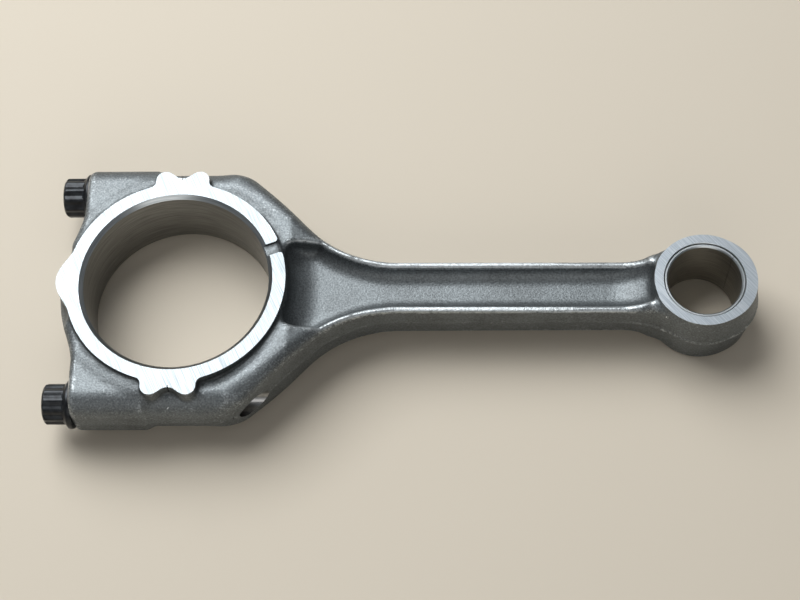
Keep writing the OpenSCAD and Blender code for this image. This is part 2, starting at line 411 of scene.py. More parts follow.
# %% Grind the faces and bore the eyes
for side in (-1, 1):
    for x0, x1, face_z in ((-45, 60, thrust_z), (120, 170, pin_face_z)):
        heights = sorted((side * face_z, side * (thrust_z + 5)))
        boolean(forging, block("wheel", (x0, -60, heights[0]), (x1, 60, heights[1])))

chamfer = 1.1
over = 3.0
big_bar = [(0, -thrust_z - over), (big_r + chamfer + over, -thrust_z - over), (big_r, chamfer - thrust_z),
           (big_r, thrust_z - chamfer), (big_r + chamfer + over, thrust_z + over), (0, thrust_z + over)]
boolean(forging, lathe("boring_bar", big_bar, (0, 0, 0), segments=288))
mouth = 0.15
pin_bar = [(0, -pin_face_z - over), (bush_r + mouth + over, -pin_face_z - over),
           (bush_r, mouth - pin_face_z),
           (bush_r, pin_face_z - mouth), (bush_r + mouth + over, pin_face_z + over), (0, pin_face_z + over)]
boolean(forging, lathe("pin_bar", pin_bar, (centre_x, 0, 0), segments=192))
print(f"after boring: {len(forging.data.polygons)} faces")

# %% [markdown]
# ## Crack the cap off
# The cap isn't sawn off. The bore is notched and the ring is broken open, and the rough faces key
# the cap back in place. The tool is a block whose one side is rough: the cap is what the block
# holds, and the rod is the rest, so both faces match grain for grain.

# %% Fracture
break_step = 0.55
break_height = 0.16


def fracture_block():
    ys = np.arange(-42, 42 + break_step, break_step)
    zs = np.arange(-14, 14 + break_step, break_step)
    points = []
    for y in ys:
        for z in zs:
            place = Vector((y / 2.2, z / 2.2, 0))
            points.append((break_height * (noise.noise(place) + 0.6 * noise.noise(place * 3.1)), y, z))
    n = len(zs)
    front = len(points)
    faces = [[i * n + k, (i + 1) * n + k, (i + 1) * n + k + 1, i * n + k + 1]
             for i in range(len(ys) - 1) for k in range(n - 1)]
    rim = ([i * n for i in range(len(ys))] + [(len(ys) - 1) * n + k for k in range(1, n)]
           + [i * n + n - 1 for i in range(len(ys) - 2, -1, -1)] + [k for k in range(n - 2, 0, -1)])
    points += [(-60.0, points[i][1], points[i][2]) for i in rim]
    back = [front + i for i in range(len(rim))]
    for i, a in enumerate(rim):
        j = (i + 1) % len(rim)
        faces.append([a, rim[j], back[j], back[i]])
    faces.append(back)
    return make_object("fracture", points, faces)


crack = fracture_block()
cap = forging.copy()
cap.data = forging.data.copy()
cap.name = "cap_with_lugs"
bpy.context.collection.objects.link(cap)
rod = forging
rod.name = "rod_with_bush_eye"
boolean(cap, crack, "INTERSECT", keep_tool=True)
boolean(rod, crack)
for side in (-1, 1):
    for end in (-1, 1):
        for half in (rod, cap):
            corner = (-0.14, side * 31.2, end * 8.6)
            other = (0.14, side * 34.8, end * 12)
            mouth_low, mouth_high = np.minimum(corner, other), np.maximum(corner, other)
            boolean(half, block("crack_mouth", mouth_low, mouth_high))
print(f"rod: {len(rod.data.polygons)} faces, cap: {len(cap.data.polygons)} faces")

# %% [markdown]
# ## A thread by rule
# A thread is one groove that repeats every turn, so Geometry Nodes make it: a flat grid of points
# is wrapped into a tube, and each point's radius follows from how far it is along and around. The
# same tree makes the bolt's thread and, a little larger, the tap that cuts the rod's holes. The
# grooves are drawn half as deep as real ones, so that a bolt can be drawn straight out.

# %% The add-node helper
def add(tree, kind, inputs=(), **settings):
    """Adds a node with its settings. An input takes a value, or another node's output to link."""
    made = tree.nodes.new(kind)
    for key, value in settings.items():
        setattr(made, key, value)
    for key, value in dict(inputs).items():
        if isinstance(value, bpy.types.NodeSocket):
            tree.links.new(value, made.inputs[key])
        else:
            made.inputs[key].default_value = value
    return made


def start_tree(name, sizes):
    """A new geometry tree with one named input per size, and a material input."""
    tree = bpy.data.node_groups.new(name, "GeometryNodeTree")
    tree.interface.new_socket("Geometry", in_out="INPUT", socket_type="NodeSocketGeometry")
    for size in sizes:
        tree.interface.new_socket(size, in_out="INPUT", socket_type="NodeSocketFloat")
    tree.interface.new_socket("Material", in_out="INPUT", socket_type="NodeSocketMaterial")
    tree.interface.new_socket("Geometry", in_out="OUTPUT", socket_type="NodeSocketGeometry")
    return tree, add(tree, "NodeGroupInput").outputs


def grow(name, tree, values):
    """Runs a tree on an empty object with these input values, and returns the plain mesh object."""
    obj = bpy.data.objects.new(name, bpy.data.meshes.new(name))
    bpy.context.collection.objects.link(obj)
    modifier = obj.modifiers.new("grow", "NODES")
    modifier.node_group = tree
    for item in tree.interface.items_tree:
        if item.in_out == "INPUT" and item.name in values:
            modifier[item.identifier] = values[item.name]
    graph = bpy.context.evaluated_depsgraph_get()
    mesh = bpy.data.meshes.new_from_object(obj.evaluated_get(graph))
    obj.modifiers.remove(modifier)
    obj.data = mesh
    return obj


# %% Thread tree
def thread_tree():
    tree, size = start_tree("thread", ["Radius", "Depth", "Pitch", "Length", "Chamfer"])
    rows = add(tree, "ShaderNodeMath", {0: size["Length"], 1: size["Pitch"]}, operation="DIVIDE").outputs[0]
    rows = add(tree, "ShaderNodeMath", {0: rows, 1: 8.0, 2: 3.0}, operation="MULTIPLY_ADD").outputs[0]
    sheet = add(tree, "GeometryNodeMeshGrid", {"Size X": size["Length"], "Size Y": 1.0, "Vertices X": rows,
                                               "Vertices Y": 49})
    place = add(tree, "GeometryNodeInputPosition").outputs[0]
    flat = add(tree, "ShaderNodeSeparateXYZ", {0: place}).outputs
    along = add(tree, "ShaderNodeMath", {0: size["Length"], 1: 0.5, 2: flat["X"]}, operation="MULTIPLY_ADD")
    along = along.outputs[0]
    turn = add(tree, "ShaderNodeMath", {0: flat["Y"], 1: 0.5}, operation="ADD").outputs[0]
    angle = add(tree, "ShaderNodeMath", {0: turn, 1: math.tau}, operation="MULTIPLY").outputs[0]
    turns = add(tree, "ShaderNodeMath", {0: along, 1: size["Pitch"]}, operation="DIVIDE").outputs[0]
    phase = add(tree, "ShaderNodeMath", {0: turns, 1: turn}, operation="SUBTRACT").outputs[0]
    # 0 at the crest and 1 at the root, with a short flat at each
    wave = add(tree, "ShaderNodeMath", {0: phase, 1: 0.5}, operation="PINGPONG").outputs[0]
    wave = add(tree, "ShaderNodeMapRange", {"Value": wave, "From Min": 0.06, "From Max": 0.42}).outputs[0]
    cut = add(tree, "ShaderNodeMath", {0: wave, 1: size["Depth"]}, operation="MULTIPLY").outputs[0]
    radius = add(tree, "ShaderNodeMath", {0: size["Radius"], 1: cut}, operation="SUBTRACT").outputs[0]
    # The chamfer narrows the last turn
    left = add(tree, "ShaderNodeMath", {0: size["Length"], 1: along}, operation="SUBTRACT").outputs[0]
    tip = add(tree, "ShaderNodeMath", {0: size["Radius"], 1: size["Chamfer"]},
              operation="SUBTRACT").outputs[0]
    tip = add(tree, "ShaderNodeMath", {0: tip, 1: left}, operation="ADD").outputs[0]
    radius = add(tree, "ShaderNodeMath", {0: radius, 1: tip}, operation="MINIMUM").outputs[0]
    # The first and last rows close on the axis
    inner = add(tree, "ShaderNodeMath", {0: left, 1: along}, operation="MINIMUM").outputs[0]
    inner = add(tree, "ShaderNodeMath", {0: inner, 1: 1e-6}, operation="GREATER_THAN").outputs[0]
    radius = add(tree, "ShaderNodeMath", {0: radius, 1: inner}, operation="MULTIPLY").outputs[0]
    side = add(tree, "ShaderNodeMath", {0: angle}, operation="COSINE").outputs[0]
    side = add(tree, "ShaderNodeMath", {0: side, 1: radius}, operation="MULTIPLY").outputs[0]
    up = add(tree, "ShaderNodeMath", {0: angle}, operation="SINE").outputs[0]
    up = add(tree, "ShaderNodeMath", {0: up, 1: radius}, operation="MULTIPLY").outputs[0]
    wrapped = add(tree, "ShaderNodeCombineXYZ", {"X": along, "Y": side, "Z": up}).outputs[0]
    shape = add(tree, "GeometryNodeSetPosition",
                {"Geometry": sheet.outputs[0], "Position": wrapped}).outputs[0]
    shape = add(tree, "GeometryNodeMergeByDistance", {"Geometry": shape, "Distance": 1e-6}).outputs[0]
    shape = add(tree, "GeometryNodeRealizeInstances", {0: shape}).outputs[0]
    shape = add(tree, "GeometryNodeSetMaterial", {0: shape, "Material": size["Material"]}).outputs[0]
    add(tree, "NodeGroupOutput", {0: shape})
    return tree


thread = thread_tree()


def thread_object(name, radius, depth, length, chamfer, start):
    """A threaded rod along X from start, in millimetres."""
    obj = grow(name, thread, {"Radius": radius * MM, "Depth": depth * MM, "Pitch": 1.0 * MM,
                              "Length": length * MM, "Chamfer": chamfer * MM})
    bm = bmesh.new()
    bm.from_mesh(obj.data)
    clean(bm)
    bmesh.ops.recalc_face_normals(bm, faces=bm.faces)
    bmesh.ops.translate(bm, verts=bm.verts, vec=Vector(start) * MM)
    bm.to_mesh(obj.data)
    bm.free()
    return obj


# %% Drill the cap, spot-face the seats and tap the rod
hole_r = 4.1
tap_r = 4.3
for side in (-1, 1):
    drill = [(0, seat_x - 12), (hole_r + 0.5, seat_x - 12), (hole_r + 0.5, seat_x), (hole_r, seat_x + 0.5),
             (hole_r, 0.6), (0, 0.6)]
    boolean(cap, lathe("drill", drill, (0, side * bolt_y, 0), axis="X", segments=96))
    facer = [(0, seat_x - 14), (facer_r, seat_x - 14), (facer_r, seat_x - 2.2),
             (facer_r - 0.6, seat_x - 0.7), (facer_floor_r, seat_x), (0, seat_x)]
    boolean(cap, lathe("spot_facer", facer, (0, side * bolt_y, 0), axis="X", segments=128))
    boolean(rod, thread_object("tap", tap_r, 0.24, bolt_tip_x + 1.8, 0.0, (-2.0, side * bolt_y, 0)))
    tap_drill = [(0, bolt_tip_x - 1.5), (tap_drill_r, bolt_tip_x - 1.5),
                 (tap_drill_r, bolt_tip_x + 25), (0, bolt_tip_x + 25)]
    boolean(rod, lathe("tap_drill", tap_drill, (0, side * bolt_y, 0), axis="X", segments=96))
print(f"rod: {len(rod.data.polygons)} faces, cap: {len(cap.data.polygons)} faces")

# %% [markdown]
# ## The cap bolts
# A cap bolt has a twelve-point head on a conical flange, so that a thin socket fits it beside the
# cap's crown. The twelve points are two crossed hexagons. That is a rule too: the radius depends
# only on the angle, so a wrapped grid makes the head, with its chamfered end and shallow dish.

# %% Head tree
def head_tree():
    tree, size = start_tree("twelve_point_head",
                            ["Across Flats", "Tip Radius", "Height", "End Chamfer", "Dish"])
    sheet = add(tree, "GeometryNodeMeshGrid",
                {"Size X": 1.0, "Size Y": 1.0, "Vertices X": 64, "Vertices Y": 193})
    place = add(tree, "GeometryNodeInputPosition").outputs[0]
    flat = add(tree, "ShaderNodeSeparateXYZ", {0: place}).outputs
    walk = add(tree, "ShaderNodeMath", {0: flat["X"], 1: 0.5}, operation="ADD").outputs[0]
    turn = add(tree, "ShaderNodeMath", {0: flat["Y"], 1: 0.5}, operation="ADD").outputs[0]
    angle = add(tree, "ShaderNodeMath", {0: turn, 1: math.tau}, operation="MULTIPLY").outputs[0]
    # The first half of the walk goes up the side, the second half goes in over the end
    rise = add(tree, "ShaderNodeMapRange", {"Value": walk, "From Max": 0.6}).outputs[0]
    fill = add(tree, "ShaderNodeMapRange",
               {"Value": walk, "From Min": 0.6, "To Min": 1.0, "To Max": 0.0}).outputs[0]
    height = add(tree, "ShaderNodeMath", {0: rise, 1: size["Height"]}, operation="MULTIPLY").outputs[0]
    # Two crossed hexagons: 15 degrees from a flat at a valley, 30 degrees at a tip
    part = add(tree, "ShaderNodeMath", {0: angle, 1: math.radians(30)}, operation="PINGPONG").outputs[0]
    other = add(tree, "ShaderNodeMath", {0: math.radians(30), 1: part}, operation="SUBTRACT").outputs[0]
    part = add(tree, "ShaderNodeMath", {0: part, 1: other}, operation="MAXIMUM").outputs[0]
    part = add(tree, "ShaderNodeMath", {0: part}, operation="COSINE").outputs[0]
    star = add(tree, "ShaderNodeMath", {0: size["Across Flats"], 1: 0.5}, operation="MULTIPLY").outputs[0]
    star = add(tree, "ShaderNodeMath", {0: star, 1: part}, operation="DIVIDE").outputs[0]
    star = add(tree, "ShaderNodeMath", {0: star, 1: size["Tip Radius"], 2: 0.00025}, operation="SMOOTH_MIN")
    left = add(tree, "ShaderNodeMath", {0: size["Height"], 1: height}, operation="SUBTRACT").outputs[0]
    cone = add(tree, "ShaderNodeMath", {0: left, 1: 1.2, 2: size["Tip Radius"]},
               operation="MULTIPLY_ADD").outputs[0]
    cone = add(tree, "ShaderNodeMath", {0: cone, 1: size["End Chamfer"]}, operation="SUBTRACT").outputs[0]
    radius = add(tree, "ShaderNodeMath", {0: star.outputs[0], 1: cone, 2: 0.0004},
                 operation="SMOOTH_MIN").outputs[0]
    radius = add(tree, "ShaderNodeMath", {0: radius, 1: fill}, operation="MULTIPLY").outputs[0]
    dish = add(tree, "ShaderNodeMapRange", {"Value": fill, "From Min": 0.62, "From Max": 0.5},
               interpolation_type="SMOOTHSTEP").outputs[0]
    height = add(tree, "ShaderNodeMath", {0: dish, 1: size["Dish"], 2: height},
                 operation="MULTIPLY_ADD").outputs[0]
    side = add(tree, "ShaderNodeMath", {0: angle}, operation="COSINE").outputs[0]
    side = add(tree, "ShaderNodeMath", {0: side, 1: radius}, operation="MULTIPLY").outputs[0]
    up = add(tree, "ShaderNodeMath", {0: angle}, operation="SINE").outputs[0]
    up = add(tree, "ShaderNodeMath", {0: up, 1: radius}, operation="MULTIPLY").outputs[0]
    out = add(tree, "ShaderNodeMath", {0: height, 1: -1.0}, operation="MULTIPLY").outputs[0]
    wrapped = add(tree, "ShaderNodeCombineXYZ", {"X": out, "Y": side, "Z": up}).outputs[0]
    shape = add(tree, "GeometryNodeSetPosition",
                {"Geometry": sheet.outputs[0], "Position": wrapped}).outputs[0]
    shape = add(tree, "GeometryNodeMergeByDistance", {"Geometry": shape, "Distance": 1e-6}).outputs[0]
    shape = add(tree, "GeometryNodeRealizeInstances", {0: shape}).outputs[0]
    shape = add(tree, "GeometryNodeSetMaterial", {0: shape, "Material": size["Material"]}).outputs[0]
    add(tree, "NodeGroupOutput", {0: shape})
    return tree


head = head_tree()

# %% Build one bolt
flange_r = (bolt_high[1] - bolt_low[1]) / 2
flange_h = 1.5
cone_h = 0.8
head_h = seat_x - bolt_low[0] - flange_h - cone_h
shank_r = 3.95
neck_r = 3.6
plain_len = 19.0


def bolt_object(name, turned):
    """A cap bolt with its seat at x = 0 and its thread towards +X, turned about its axis."""
    bolt_profile = [(0, -flange_h - cone_h - 0.3), (flange_r - 1.3, -flange_h - cone_h - 0.3),
                    (flange_r - 1.2, -flange_h - cone_h), (flange_r - 0.35, -flange_h - 0.12),
                    (flange_r - 0.08, -flange_h + 0.1), (flange_r, -flange_h + 0.35), (flange_r, -0.3),
                    (flange_r - 0.08, -0.08), (flange_r - 0.3, 0), (shank_r + 0.4, 0), (shank_r, 0.5),
                    (shank_r, plain_len - 0.4), (neck_r, plain_len), (neck_r, plain_len + 2.5),
                    (0, plain_len + 2.5)]
    bolt = lathe(name, bolt_profile, (0, 0, 0), axis="X", segments=128)
    boolean(bolt, thread_object("bolt_thread", 4.0, 0.3, bolt_len - plain_len - 1.2, 0.9,
                                (plain_len + 1.2, 0, 0)), "UNION")
    top = grow("bolt_head", head, {"Across Flats": 10.0 * MM, "Tip Radius": 5.62 * MM,
                                   "Height": head_h * MM + 0.2 * MM,
                                   "End Chamfer": 0.75 * MM, "Dish": -0.35 * MM})
    bm = bmesh.new()
    bm.from_mesh(top.data)
    clean(bm)
    bmesh.ops.holes_fill(bm, edges=[e for e in bm.edges if e.is_boundary], sides=0)
    bmesh.ops.recalc_face_normals(bm, faces=bm.faces)
    bmesh.ops.translate(bm, verts=bm.verts, vec=Vector((-flange_h - cone_h + 0.2, 0, 0)) * MM)
    bmesh.ops.rotate(bm, verts=bm.verts, cent=(0, 0, 0), matrix=Matrix.Rotation(turned, 3, "X"))
    bm.to_mesh(top.data)
    bm.free()
    boolean(bolt, top, "UNION")
    return bolt


bolts = {}
for place, side, turned in (("upper", 1, 0.10), ("lower", -1, 0.21)):
    bolt = bolt_object(place + "_twelve_point_bolt", turned)
    bolt.data.transform(Matrix.Translation(Vector((seat_x - 0.02, side * bolt_y, 0)) * MM))
    bolts[place] = bolt
    print(place, "bolt:", len(bolt.data.polygons), "faces")

# %% [markdown]
# ## The pin bush
# The bush is a strip of lined steel, rolled up and pressed into the eye. Its ends meet in a straight
# seam, and both mouths are chamfered. The lathe turns its section almost all the way round, which
# leaves the seam open by a hair.

# %% Roll the bush
seam_angle = 40.0
seam_gap = 0.7
wall = [(pin_r, -bush_z + 0.35), (pin_r + 0.35, -bush_z), (bush_r - 0.22, -bush_z),
        (bush_r - 0.01, -bush_z + 0.3),
        (bush_r - 0.01, bush_z - 0.3), (bush_r - 0.22, bush_z), (pin_r + 0.35, bush_z),
        (pin_r, bush_z - 0.35)]
bush = lathe("rolled_pin_bush", wall, (centre_x, 0, 0), segments=240, start=seam_angle + seam_gap / 2,
             sweep=360 - seam_gap)
print("bush:", len(bush.data.polygons), "faces")

# %% [markdown]
# ## Which face was cut by what
# After the cuts, each face's place tells which tool made it: a face on the bore's radius was bored,
# a face at the thrust height was ground. So the finishes are given by position, and the forged skin
# is what is left. The list's order is the order of the material slots.

# %% Sort the faces
FINISHES = ["forged", "thrust_ground", "pin_ground", "bored", "chamfered", "drilled", "broken", "spot_faced"]


def face_values(obj):
    """Centres in millimetres and normals of all faces, as arrays."""
    mesh = obj.data
    centres = np.empty(len(mesh.polygons) * 3)
    normals = np.empty(len(mesh.polygons) * 3)
    mesh.polygons.foreach_get("center", centres)
    mesh.polygons.foreach_get("normal", normals)
    return centres.reshape(-1, 3) / MM, normals.reshape(-1, 3)


def sort_faces(obj):
    centres, normals = face_values(obj)
    x, y, z = centres.T
    nz = np.abs(normals[:, 2])
    from_big = np.hypot(x, y)
    from_pin = np.hypot(x - centre_x, y)
    from_bolt = np.hypot(np.abs(y) - bolt_y, z)
    kind = np.zeros(len(x), int)
    kind[(np.abs(np.abs(z) - thrust_z) < 0.01) & (nz > 0.99) & (x < 60)] = 1
    kind[(np.abs(np.abs(z) - pin_face_z) < 0.01) & (nz > 0.99) & (x > 120)] = 2
    kind[(from_big < big_r + 0.01) & (nz < 0.3)] = 3
    kind[(from_pin < bush_r + 0.01) & (nz < 0.3)] = 3
    kind[(from_big < big_r + chamfer + 0.1) & (nz > 0.5) & (nz < 0.9) & (np.abs(z) < thrust_z - 0.005)] = 4
    kind[(from_pin < bush_r + mouth + 0.1) & (nz > 0.5) & (nz < 0.9)] = 4
    in_hole = (from_bolt < tap_r + 0.02) & (x < bolt_tip_x + 0.5) | (from_bolt < 3.47)
    towards_axis = normals[:, 1] * (y - np.sign(y) * bolt_y) + normals[:, 2] * z < 0.1 * from_bolt
    kind[in_hole & towards_axis & (np.abs(normals[:, 0]) < 0.95)] = 5
    kind[(np.abs(x) < 2.5 * break_height) & (np.abs(normals[:, 0]) > 0.5) & (from_bolt > hole_r)] = 6
    kind[(np.abs(x - seat_x) < 0.01) & (normals[:, 0] < -0.9)] = 7
    on_facer = (x < seat_x + 0.01) & (x > seat_x - 2.4) & (normals[:, 0] < -0.25)
    on_facer &= (from_bolt > facer_floor_r - 0.1) & (from_bolt < facer_r + 0.05)
    off_crown = (np.abs(y) > crown_r - 14) & (np.abs(np.hypot(x, y) - crown_r) > 0.4)
    kind[on_facer & off_crown & (kind == 0)] = 7
    obj.data.polygons.foreach_set("material_index", kind)
    print(obj.name, {FINISHES[k]: int(np.sum(kind == k)) for k in range(len(FINISHES))})


def shade(obj, angle=34):
    """Smooth faces with crisp edges wherever two faces meet at a steep angle."""
    obj.data.polygons.foreach_set("use_smooth", np.ones(len(obj.data.polygons), bool))
    obj.data.set_sharp_from_angle(angle=math.radians(angle))
    obj.data.update()


for obj in (rod, cap, bush, *bolts.values()):
    shade(obj)

# %% [markdown]
# ## Finishes
# Every finish here is steel, and only the way its surface was made tells them apart. Each could be a
# flat grey, but then the forging, the grinding and the boring would look the same. So each starts
# from its own marks: their direction, their spacing in millimetres, and how much light they scatter.
# Colours are given as on a screen, in sRGB hex, and one function turns them linear.

# %% Colour and material helpers
def colour(code):
    """An sRGB hex colour as linear RGBA."""
    parts = [int(code[i:i + 2], 16) / 255 for i in (1, 3, 5)]
    return [p / 12.92 if p <= 0.04045 else ((p + 0.055) / 1.055) ** 2.4 for p in parts] + [1.0]


def per_mm(size):
    """Scale of a noise on object coordinates, for features of this size in millimetres."""
    return 1 / (size * MM)


def start_material(name):
    material = bpy.data.materials.new(name)
    material.use_nodes = True
    tree = material.node_tree
    tree.nodes.clear()
    surface = add(tree, "ShaderNodeBsdfPrincipled")
    add(tree, "ShaderNodeOutputMaterial", {"Surface": surface.outputs[0]})
    place = add(tree, "ShaderNodeTexCoord").outputs["Object"]
    return material, tree, surface, place


def two_tone(tree, factor, low_colour, high_colour, low=0.35, high=0.65):
    """Mixes two colours by a pattern's value, from low to high."""
    part = add(tree, "ShaderNodeMapRange", {"Value": factor, "From Min": low, "From Max": high}).outputs[0]
    mix = add(tree, "ShaderNodeMix", {"Factor": part, 6: low_colour, 7: high_colour}, data_type="RGBA")
    return mix.outputs[2]


# %% [markdown]
# ## Shot-blasted forging steel
# The rod and cap are carbon forging steel. The hot die leaves scale on it, and steel shot blasts the
# scale off, so the skin is a field of tiny dents. That gives the eye a fine grey mottle with no clear
# reflection. The hollows get painted shade, and the edges are painted bright, partly as rubbed wear
# and partly as painted highlight. Real dents are 0.1 to 0.2 mm across. They are drawn at 0.5 mm,
# coarser than real, so that they show at this distance.
# The wear and the painted light could be placed by hand, but the bend measured above already knows where the
# edges are.

# %% Shot-blasted forging steel
def forged_steel():
    """Carbon steel, hot forged and shot blasted: mottled and matt, with painted shade in the hollows and
    edges bright from wear and painted highlight.
    """
    material, tree, surface, place = start_material("shot_blasted_forged_steel")
    grain = add(tree, "ShaderNodeTexNoise", {"Vector": place, "Scale": per_mm(0.5), "Detail": 2.0,
                                             "Roughness": 0.6}).outputs[0]
    patch = add(tree, "ShaderNodeTexNoise", {"Vector": place, "Scale": per_mm(9), "Detail": 2.0}).outputs[0]
    tone = two_tone(tree, grain, colour("#5b5f61"), colour("#868b8e"), 0.36, 0.64)
    shade_tone = two_tone(tree, patch, colour("#666a6b"), colour("#7d8385"))
    tone = add(tree, "ShaderNodeMix", {"Factor": 0.4, 6: tone, 7: shade_tone}, data_type="RGBA").outputs[2]
    bend_here = add(tree, "ShaderNodeAttribute", attribute_name="bend").outputs["Fac"]
    # Fillets and hollows, where the bend is negative, are darkened towards near black: painted shade
    painted_hollow_shade = add(tree, "ShaderNodeMapRange", {"Value": bend_here, "From Min": -0.2, "From Max": -1.0,
                                              "To Max": 0.5}).outputs[0]
    tone = add(tree, "ShaderNodeMix", {"Factor": painted_hollow_shade, 6: tone, 7: colour("#2a2c2c")},
               data_type="RGBA").outputs[2]
    peel = add(tree, "ShaderNodeTexNoise", {"Vector": place, "Scale": per_mm(1.4), "Detail": 2.0}).outputs[0]
    uneven = add(tree, "ShaderNodeMath", {0: grain, 1: peel}, operation="ADD").outputs[0]
    ragged = add(tree, "ShaderNodeMath", {0: uneven, 1: 1.4, 2: -1.4}, operation="MULTIPLY_ADD").outputs[0]
    ragged = add(tree, "ShaderNodeMath", {0: ragged, 1: bend_here}, operation="ADD").outputs[0]
    # Edges, where the bend is positive, are painted brighter and smoother: partly rubbed wear, partly
    # painted highlight
    wear_and_highlight = add(tree, "ShaderNodeMapRange",
               {"Value": ragged, "From Min": 0.35, "From Max": 1.3, "To Max": 0.8}).outputs[0]
    tone = add(tree, "ShaderNodeMix", {"Factor": wear_and_highlight, 6: tone, 7: colour("#c3c8ca")},
               data_type="RGBA").outputs[2]
    struck = add(tree, "ShaderNodeMapping", {"Vector": place, "Rotation": (0, 0, math.radians(38)),
                                             "Scale": (20 * MM, 6 * MM, 20 * MM)},
                                             vector_type="TEXTURE").outputs[0]
    nick = add(tree, "ShaderNodeTexVoronoi", {"Vector": struck, "Scale": 1.0}).outputs["Distance"]
    nick = add(tree, "ShaderNodeMapRange", {"Value": nick, "From Min": 0.03, "From Max": 0.015}).outputs[0]
    tone = add(tree, "ShaderNodeMix", {"Factor": nick, 6: tone, 7: colour("#e4e8ea")},
               data_type="RGBA").outputs[2]
    tree.links.new(tone, surface.inputs["Base Color"])
    surface.inputs["Metallic"].default_value = 0.9
    rough = add(tree, "ShaderNodeMapRange", {"Value": wear_and_highlight, "To Min": 0.5, "To Max": 0.38}).outputs[0]
    tree.links.new(rough, surface.inputs["Roughness"])
    bump = add(tree, "ShaderNodeBump", {"Height": uneven, "Strength": 0.5, "Distance": 0.14 * MM}).outputs[0]
    tree.links.new(bump, surface.inputs["Normal"])
    return material


# %% [markdown]
# ## Ground, bored, cut and broken steel
# A grinding wheel leaves fine straight lines that run one way across the whole face, and a boring bar
# leaves rings round the hole. The bolt seats' lines are drawn straight too, where a real spot facer
# leaves rings. Both give the eye a bright face streaked along the cut. Real lines are
# about 0.05 mm apart for grinding and 0.1 mm for boring. They are drawn at 0.28 and 0.3 mm, coarser
# than real, so that they show. Noise stretched along the cut was chosen over a wave, because a wave
# repeats and real lines don't. The fracture is left as it broke, so it sparkles in grains.
# The bolts are blackened in a hot salt bath, which leaves a thin dark skin with an oily sheen.

# %% Ground, bored and cut steel
def ground_steel(name, low_colour, high_colour, roughness, angle):
    """Ground steel: straight fine lines at one angle, bright and streaked along them."""
    material, tree, surface, place = start_material(name)
    turned = add(tree, "ShaderNodeMapping", {"Vector": place, "Rotation": (0, 0, math.radians(angle)),
                                             "Scale": (12 * MM, 0.28 * MM, 12 * MM)},
                                             vector_type="TEXTURE").outputs[0]
    lines = add(tree, "ShaderNodeTexNoise",
                {"Vector": turned, "Scale": 1.0, "Detail": 3.0, "Roughness": 0.6}).outputs[0]
    tone = two_tone(tree, lines, low_colour, high_colour, 0.4, 0.6)
    tree.links.new(tone, surface.inputs["Base Color"])
    surface.inputs["Metallic"].default_value = 1.0
    surface.inputs["Roughness"].default_value = roughness
    bump = add(tree, "ShaderNodeBump", {"Height": lines, "Strength": 0.15, "Distance": 0.02 * MM}).outputs[0]
    tree.links.new(bump, surface.inputs["Normal"])
    return material


def bored_steel(name, low_colour, high_colour, roughness):
    """Bored steel: rings round an upright hole. In the bolt holes, which lie flat, they run along."""
    material, tree, surface, place = start_material(name)
    stretched = add(tree, "ShaderNodeMapping",
                    {"Vector": place, "Scale": (per_mm(9), per_mm(9), per_mm(0.3))}).outputs[0]
    lines = add(tree, "ShaderNodeTexNoise", {"Vector": stretched, "Scale": 1.0, "Detail": 2.0}).outputs[0]
    tone = two_tone(tree, lines, low_colour, high_colour)
    tree.links.new(tone, surface.inputs["Base Color"])
    surface.inputs["Metallic"].default_value = 1.0
    surface.inputs["Roughness"].default_value = roughness
    bump = add(tree, "ShaderNodeBump", {"Height": lines, "Strength": 0.12, "Distance": 0.02 * MM}).outputs[0]
    tree.links.new(bump, surface.inputs["Normal"])
    return material


def broken_steel():
    """Steel split by cracking: bright and dark grains of 0.5 mm, coarser than the real 0.1 mm."""
    material, tree, surface, place = start_material("fractured_steel")
    grain = add(tree, "ShaderNodeTexNoise",
                {"Vector": place, "Scale": per_mm(0.5), "Detail": 4.0}).outputs[0]
    tree.links.new(two_tone(tree, grain, colour("#4c4d4e"), colour("#9a9b9b")), surface.inputs["Base Color"])
    surface.inputs["Metallic"].default_value = 0.8
    surface.inputs["Roughness"].default_value = 0.45
    bump = add(tree, "ShaderNodeBump", {"Height": grain, "Strength": 0.8, "Distance": 0.15 * MM}).outputs[0]
    tree.links.new(bump, surface.inputs["Normal"])
    return material


def black_oxide():
    """Alloy bolt steel, black oxide from a hot salt bath: near black, patchy and slightly oily."""
    material, tree, surface, place = start_material("black_oxide_bolt_steel")
    patch = add(tree, "ShaderNodeTexNoise",
                {"Vector": place, "Scale": per_mm(1.8), "Detail": 4.0}).outputs[0]
    tree.links.new(two_tone(tree, patch, colour("#1b1c1f"), colour("#303336")), surface.inputs["Base Color"])
    surface.inputs["Metallic"].default_value = 0.6
    rough = add(tree, "ShaderNodeMapRange", {"Value": patch, "To Min": 0.22, "To Max": 0.42}).outputs[0]
    tree.links.new(rough, surface.inputs["Roughness"])
    bump = add(tree, "ShaderNodeBump", {"Height": patch, "Strength": 0.2, "Distance": 0.04 * MM}).outputs[0]
    tree.links.new(bump, surface.inputs["Normal"])
    return material


# %% [markdown]
# ## Giving out the finishes
# The list follows FINISHES, so a face's kind is also its material's number. Clearing the old slots
# sets every face back to the first one, so the faces are sorted after the finishes are in.
# The thrust faces and the eye's faces are the same ground steel. The thrust finish is given a darker
# colour because the window's reflection falls on the big end, which would otherwise burn out to white.
# The bush is steel-backed bearing strip with a fine-bored lining, a little warmer than the rod.

